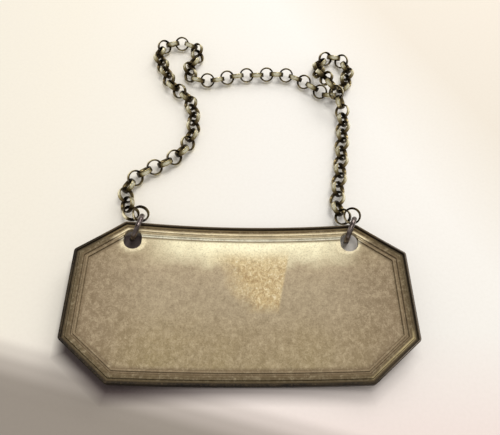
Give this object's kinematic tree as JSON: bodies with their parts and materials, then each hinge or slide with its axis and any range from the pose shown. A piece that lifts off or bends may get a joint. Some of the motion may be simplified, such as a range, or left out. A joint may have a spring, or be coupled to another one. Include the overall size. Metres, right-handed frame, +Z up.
{
  "type": "wine label",
  "caption": "Cut-cornered metal bottle label, bowed to the bottle, with reeded border, two wire rings and a band-link neck chain.",
  "frame": {"origin": "on the surface that the label lies on, under the middle of the sheet, where the bowed face rests", "axes": "+X along the label, +Y from its lower edge towards the chain, +Z up, out of the hollow side"},
  "size_m": [0.0496, 0.0677, 0.0056],
  "materials": {
    "sheet_silver": "satin, tarnished",
    "ring_silver": "dark tarnished",
    "chain_silver": "dark tarnished, worn bright"
  },
  "bodies": {
    "label": {"label_plate": "sheet_silver"},
    "left_ring": {"left_ring": "ring_silver"},
    "right_ring": {"right_ring": "ring_silver"},
    "chain_01": {"chain_01": "chain_silver"},
    "chain_02": {"chain_02": "chain_silver"},
    "chain_03": {"chain_03": "chain_silver"},
    "chain_04": {"chain_04": "chain_silver"},
    "chain_05": {"chain_05": "chain_silver"},
    "chain_06": {"chain_06": "chain_silver"},
    "chain_07": {"chain_07": "chain_silver"},
    "chain_08": {"chain_08": "chain_silver"},
    "chain_09": {"chain_09": "chain_silver"},
    "chain_10": {"chain_10": "chain_silver"},
    "chain_11": {"chain_11": "chain_silver"},
    "chain_12": {"chain_12": "chain_silver"},
    "chain_13": {"chain_13": "chain_silver"},
    "chain_14": {"chain_14": "chain_silver"},
    "chain_15": {"chain_15": "chain_silver"},
    "chain_16": {"chain_16": "chain_silver"},
    "chain_17": {"chain_17": "chain_silver"},
    "chain_18": {"chain_18": "chain_silver"},
    "chain_19": {"chain_19": "chain_silver"},
    "chain_20": {"chain_20": "chain_silver"},
    "chain_21": {"chain_21": "chain_silver"},
    "chain_22": {"chain_22": "chain_silver"},
    "chain_23": {"chain_23": "chain_silver"},
    "chain_24": {"chain_24": "chain_silver"},
    "chain_25": {"chain_25": "chain_silver"},
    "chain_26": {"chain_26": "chain_silver"},
    "chain_27": {"chain_27": "chain_silver"},
    "chain_28": {"chain_28": "chain_silver"},
    "chain_29": {"chain_29": "chain_silver"},
    "chain_30": {"chain_30": "chain_silver"},
    "chain_31": {"chain_31": "chain_silver"},
    "chain_32": {"chain_32": "chain_silver"},
    "chain_33": {"chain_33": "chain_silver"},
    "chain_34": {"chain_34": "chain_silver"},
    "chain_35": {"chain_35": "chain_silver"},
    "chain_36": {"chain_36": "chain_silver"},
    "chain_37": {"chain_37": "chain_silver"},
    "chain_38": {"chain_38": "chain_silver"},
    "chain_39": {"chain_39": "chain_silver"},
    "chain_40": {"chain_40": "chain_silver"},
    "chain_41": {"chain_41": "chain_silver"},
    "chain_42": {"chain_42": "chain_silver"},
    "chain_43": {"chain_43": "chain_silver"},
    "chain_44": {"chain_44": "chain_silver"},
    "chain_45": {"chain_45": "chain_silver"},
    "chain_46": {"chain_46": "chain_silver"},
    "chain_47": {"chain_47": "chain_silver"},
    "chain_48": {"chain_48": "chain_silver"},
    "chain_49": {"chain_49": "chain_silver"},
    "chain_50": {"chain_50": "chain_silver"},
    "chain_51": {"chain_51": "chain_silver"},
    "chain_52": {"chain_52": "chain_silver"},
    "chain_53": {"chain_53": "chain_silver"},
    "chain_54": {"chain_54": "chain_silver"},
    "chain_55": {"chain_55": "chain_silver"},
    "chain_56": {"chain_56": "chain_silver"},
    "chain_57": {"chain_57": "chain_silver"}
  },
  "joints": [
    {"name": "chain_swing", "type": "hinge", "parent": "label", "child": "left_ring", "pos_m": [-0.0163, 0.01117, 0.0024], "axis": [1, 0, 0], "range_deg": [0, 80]},
    {"name": "right_ring_swing", "type": "hinge", "parent": "label", "child": "right_ring", "pos_m": [0.0171, 0.01117, 0.0024], "axis": [1, 0, 0], "range_deg": [0, 80]},
    {"name": "chain_fold", "type": "hinge", "parent": "left_ring", "child": "chain_10", "pos_m": [-0.00886, 0.03157, 0.00136], "axis": [0.9998, 0.022, 0.0003], "range_deg": [-30, 35]},
    {"name": "loop_fold", "type": "hinge", "parent": "chain_10", "child": "chain_13", "pos_m": [-0.01241, 0.04185, 0.00136], "axis": [0.7323, 0.681, 0], "range_deg": [-12, 30]},
    {"name": "chain_01_roll", "type": "hinge", "parent": "left_ring", "child": "chain_01", "pos_m": [-0.01581, 0.01314, 0.00231], "axis": [-0.7686, 0.5978, -0.2277], "range_deg": [-6, 6]},
    {"name": "chain_02_roll", "type": "hinge", "parent": "left_ring", "child": "chain_02", "pos_m": [-0.01688, 0.01397, 0.00199], "axis": [-0.7034, 0.6484, -0.2911], "range_deg": [-6, 6]},
    {"name": "chain_03_roll", "type": "hinge", "parent": "left_ring", "child": "chain_03", "pos_m": [-0.01813, 0.01512, 0.00147], "axis": [-0.3341, 0.9408, -0.0568], "range_deg": [-6, 6]},
    {"name": "chain_04_roll", "type": "hinge", "parent": "left_ring", "child": "chain_04", "pos_m": [-0.01876, 0.0169, 0.00136], "axis": [-0.0709, 0.9975, 0], "range_deg": [-6, 6]},
    {"name": "chain_05_roll", "type": "hinge", "parent": "left_ring", "child": "chain_05", "pos_m": [-0.01888, 0.0187, 0.00136], "axis": [0.3262, 0.9453, 0], "range_deg": [-6, 6]},
    {"name": "chain_06_roll", "type": "hinge", "parent": "left_ring", "child": "chain_06", "pos_m": [-0.01829, 0.02042, 0.00136], "axis": [0.7108, 0.7034, 0], "range_deg": [-6, 6]},
    {"name": "chain_07_roll", "type": "hinge", "parent": "left_ring", "child": "chain_07", "pos_m": [-0.01564, 0.02304, 0.00136], "axis": [0.8431, 0.5378, 0], "range_deg": [-6, 6]},
    {"name": "chain_08_roll", "type": "hinge", "parent": "left_ring", "child": "chain_08", "pos_m": [-0.01241, 0.0251, 0.00136], "axis": [0.6451, 0.7641, 0], "range_deg": [-6, 6]},
    {"name": "chain_09_roll", "type": "hinge", "parent": "left_ring", "child": "chain_09", "pos_m": [-0.00999, 0.02797, 0.00136], "axis": [0.2998, 0.954, 0], "range_deg": [-6, 6]},
    {"name": "chain_11_roll", "type": "hinge", "parent": "chain_10", "child": "chain_11", "pos_m": [-0.00888, 0.03539, 0.00136], "axis": [-0.2859, 0.9582, 0], "range_deg": [-6, 6]},
    {"name": "chain_12_roll", "type": "hinge", "parent": "chain_10", "child": "chain_12", "pos_m": [-0.00995, 0.039, 0.00136], "axis": [-0.6532, 0.7572, 0], "range_deg": [-6, 6]},
    {"name": "chain_14_roll", "type": "hinge", "parent": "chain_13", "child": "chain_14", "pos_m": [-0.01429, 0.0451, 0.00136], "axis": [-0.3804, 0.9248, 0], "range_deg": [-6, 6]},
    {"name": "chain_15_roll", "type": "hinge", "parent": "chain_13", "child": "chain_15", "pos_m": [-0.01575, 0.04864, 0.00136], "axis": [-0.2374, 0.9714, 0], "range_deg": [-6, 6]},
    {"name": "chain_16_roll", "type": "hinge", "parent": "chain_13", "child": "chain_16", "pos_m": [-0.01619, 0.05042, 0.00136], "axis": [0.1735, 0.9848, 0], "range_deg": [-6, 6]},
    {"name": "chain_17_roll", "type": "hinge", "parent": "chain_13", "child": "chain_17", "pos_m": [-0.01588, 0.05216, 0.00136], "axis": [0.6724, 0.7402, 0], "range_deg": [-6, 6]},
    {"name": "chain_18_roll", "type": "hinge", "parent": "chain_13", "child": "chain_18", "pos_m": [-0.01473, 0.05343, 0.00136], "axis": [0.9574, 0.2888, 0], "range_deg": [-6, 6]},
    {"name": "chain_19_roll", "type": "hinge", "parent": "chain_13", "child": "chain_19", "pos_m": [-0.01302, 0.05394, 0.00136], "axis": [0.9979, -0.0646, 0], "range_deg": [-6, 6]},
    {"name": "chain_20_roll", "type": "hinge", "parent": "chain_13", "child": "chain_20", "pos_m": [-0.01118, 0.05383, 0.00136], "axis": [0.8751, -0.484, 0], "range_deg": [-6, 6]},
    {"name": "chain_21_roll", "type": "hinge", "parent": "chain_13", "child": "chain_21", "pos_m": [-0.00967, 0.05299, 0.00136], "axis": [0.4221, -0.9065, 0], "range_deg": [-6, 6]},
    {"name": "chain_22_roll", "type": "hinge", "parent": "chain_13", "child": "chain_22", "pos_m": [-0.00896, 0.05146, 0.00136], "axis": [-0.2621, -0.965, 0], "range_deg": [-6, 6]},
    {"name": "chain_23_roll", "type": "hinge", "parent": "chain_13", "child": "chain_23", "pos_m": [-0.0099, 0.04798, 0.00136], "axis": [-0.0898, -0.996, 0], "range_deg": [-3, 3]},
    {"name": "chain_24_roll", "type": "hinge", "parent": "chain_13", "child": "chain_24", "pos_m": [-0.01006, 0.04624, 0.00136], "axis": [0.5265, -0.8502, 0], "range_deg": [-3, 3]},
    {"name": "chain_25_roll", "type": "hinge", "parent": "chain_10", "child": "chain_25", "pos_m": [-0.00919, 0.04484, 0.00136], "axis": [0.9356, -0.3531, 0], "range_deg": [-3, 3]},
    {"name": "chain_26_roll", "type": "hinge", "parent": "chain_10", "child": "chain_26", "pos_m": [-0.00756, 0.04422, 0.00136], "axis": [0.9996, 0.0286, 0], "range_deg": [-6, 6]},
    {"name": "chain_27_roll", "type": "hinge", "parent": "chain_10", "child": "chain_27", "pos_m": [-0.00569, 0.04428, 0.00136], "axis": [0.9678, 0.2516, 0], "range_deg": [-6, 6]},
    {"name": "chain_28_roll", "type": "hinge", "parent": "chain_10", "child": "chain_28", "pos_m": [-0.00198, 0.04524, 0.00136], "axis": [0.9885, 0.1512, 0], "range_deg": [-6, 6]},
    {"name": "chain_29_roll", "type": "hinge", "parent": "chain_10", "child": "chain_29", "pos_m": [0.00182, 0.04582, 0.00136], "axis": [0.9965, 0.0836, 0], "range_deg": [-6, 6]},
    {"name": "chain_30_roll", "type": "hinge", "parent": "chain_10", "child": "chain_30", "pos_m": [0.00568, 0.04615, 0.00136], "axis": [0.9919, -0.1267, 0], "range_deg": [-6, 6]},
    {"name": "chain_31_roll", "type": "hinge", "parent": "chain_10", "child": "chain_31", "pos_m": [0.0094, 0.04567, 0.00136], "axis": [0.9014, -0.433, 0], "range_deg": [-6, 6]},
    {"name": "chain_32_roll", "type": "hinge", "parent": "chain_10", "child": "chain_32", "pos_m": [0.01111, 0.04485, 0.00136], "axis": [0.7925, -0.6099, 0], "range_deg": [-6, 6]},
    {"name": "chain_33_roll", "type": "hinge", "parent": "chain_10", "child": "chain_33", "pos_m": [0.01414, 0.04252, 0.00136], "axis": [0.837, -0.5471, 0], "range_deg": [-6, 6]},
    {"name": "chain_34_roll", "type": "hinge", "parent": "chain_10", "child": "chain_34", "pos_m": [0.01568, 0.04151, 0.00136], "axis": [0.999, -0.045, 0], "range_deg": [-3, 3]},
    {"name": "chain_35_roll", "type": "hinge", "parent": "chain_10", "child": "chain_35", "pos_m": [0.01732, 0.04144, 0.00136], "axis": [0.8184, 0.5746, 0], "range_deg": [-3, 3]},
    {"name": "chain_36_roll", "type": "hinge", "parent": "chain_10", "child": "chain_36", "pos_m": [0.01875, 0.04244, 0.00136], "axis": [0.4319, 0.9019, 0], "range_deg": [-6, 6]},
    {"name": "chain_37_roll", "type": "hinge", "parent": "chain_10", "child": "chain_37", "pos_m": [0.02036, 0.0458, 0.00136], "axis": [0.0946, 0.9955, 0.0003], "range_deg": [-6, 6]},
    {"name": "chain_38_roll", "type": "hinge", "parent": "chain_10", "child": "chain_38", "pos_m": [0.02054, 0.04765, 0.00136], "axis": [-0.2267, 0.974, 0], "range_deg": [-6, 6]},
    {"name": "chain_39_roll", "type": "hinge", "parent": "chain_10", "child": "chain_39", "pos_m": [0.02012, 0.04943, 0.00136], "axis": [-0.6376, 0.7704, 0.0016], "range_deg": [-3, 3]},
    {"name": "chain_40_roll", "type": "hinge", "parent": "chain_10", "child": "chain_40", "pos_m": [0.01903, 0.05075, 0.00137], "axis": [-0.983, 0.1837, 0], "range_deg": [-3, 3]},
    {"name": "chain_41_roll", "type": "hinge", "parent": "chain_10", "child": "chain_41", "pos_m": [0.01744, 0.05105, 0.00137], "axis": [-0.8585, -0.5128, -0.0019], "range_deg": [-3, 3]},
    {"name": "chain_42_roll", "type": "hinge", "parent": "chain_10", "child": "chain_42", "pos_m": [0.01599, 0.05018, 0.00136], "axis": [-0.4882, -0.8685, 0.0856], "range_deg": [-6, 6]},
    {"name": "chain_43_roll", "type": "hinge", "parent": "chain_10", "child": "chain_43", "pos_m": [0.01511, 0.04862, 0.00152], "axis": [-0.174, -0.9424, 0.2856], "range_deg": [-6, 6]},
    {"name": "chain_44_roll", "type": "hinge", "parent": "chain_10", "child": "chain_44", "pos_m": [0.01479, 0.0469, 0.00204], "axis": [0.1559, -0.8878, 0.4331], "range_deg": [-6, 6]},
    {"name": "chain_45_roll", "type": "hinge", "parent": "chain_10", "child": "chain_45", "pos_m": [0.01538, 0.04356, 0.00367], "axis": [0.3556, -0.8975, 0.2608], "range_deg": [-6, 6]},
    {"name": "chain_46_roll", "type": "hinge", "parent": "chain_10", "child": "chain_46", "pos_m": [0.01604, 0.04189, 0.00415], "axis": [0.4678, -0.8749, -0.1255], "range_deg": [-6, 6]},
    {"name": "chain_47_roll", "type": "hinge", "parent": "chain_10", "child": "chain_47", "pos_m": [0.01686, 0.04035, 0.00393], "axis": [0.4159, -0.7272, -0.546], "range_deg": [-6, 6]},
    {"name": "chain_48_roll", "type": "hinge", "parent": "chain_10", "child": "chain_48", "pos_m": [0.01838, 0.03769, 0.00194], "axis": [0.1073, -0.9544, -0.2785], "range_deg": [-6, 6]},
    {"name": "chain_49_roll", "type": "hinge", "parent": "chain_10", "child": "chain_49", "pos_m": [0.01857, 0.03599, 0.00144], "axis": [-0.0928, -0.9955, -0.0181], "range_deg": [-6, 6]},
    {"name": "chain_50_roll", "type": "hinge", "parent": "left_ring", "child": "chain_50", "pos_m": [0.01822, 0.03216, 0.00137], "axis": [-0.1427, -0.9898, -0.0019], "range_deg": [-6, 6]},
    {"name": "chain_51_roll", "type": "hinge", "parent": "left_ring", "child": "chain_51", "pos_m": [0.01766, 0.02831, 0.00136], "axis": [-0.1463, -0.9892, 0.0001], "range_deg": [-6, 6]},
    {"name": "chain_52_roll", "type": "hinge", "parent": "left_ring", "child": "chain_52", "pos_m": [0.01709, 0.02447, 0.00136], "axis": [-0.1727, -0.985, 0.0001], "range_deg": [-6, 6]},
    {"name": "chain_53_roll", "type": "hinge", "parent": "left_ring", "child": "chain_53", "pos_m": [0.01676, 0.02255, 0.00136], "axis": [-0.1823, -0.9832, -0.0002], "range_deg": [-6, 6]},
    {"name": "chain_54_roll", "type": "hinge", "parent": "left_ring", "child": "chain_54", "pos_m": [0.01605, 0.01873, 0.00136], "axis": [-0.1038, -0.9946, 0], "range_deg": [-6, 6]},
    {"name": "chain_55_roll", "type": "hinge", "parent": "left_ring", "child": "chain_55", "pos_m": [0.01585, 0.01682, 0.00136], "axis": [0.1405, -0.9883, 0.0586], "range_deg": [-6, 6]},
    {"name": "chain_56_roll", "type": "hinge", "parent": "left_ring", "child": "chain_56", "pos_m": [0.01611, 0.01502, 0.00147], "axis": [0.4909, -0.6997, 0.519], "range_deg": [-6, 6]},
    {"name": "chain_57_roll", "type": "hinge", "parent": "left_ring", "child": "chain_57", "pos_m": [0.01696, 0.01381, 0.00237], "axis": [0.6159, -0.6138, 0.4938], "range_deg": [-6, 6]}
  ],
  "couplings": [
    {"joint": "right_ring_swing", "follows": "chain_swing", "ratio": 1}
  ]
}
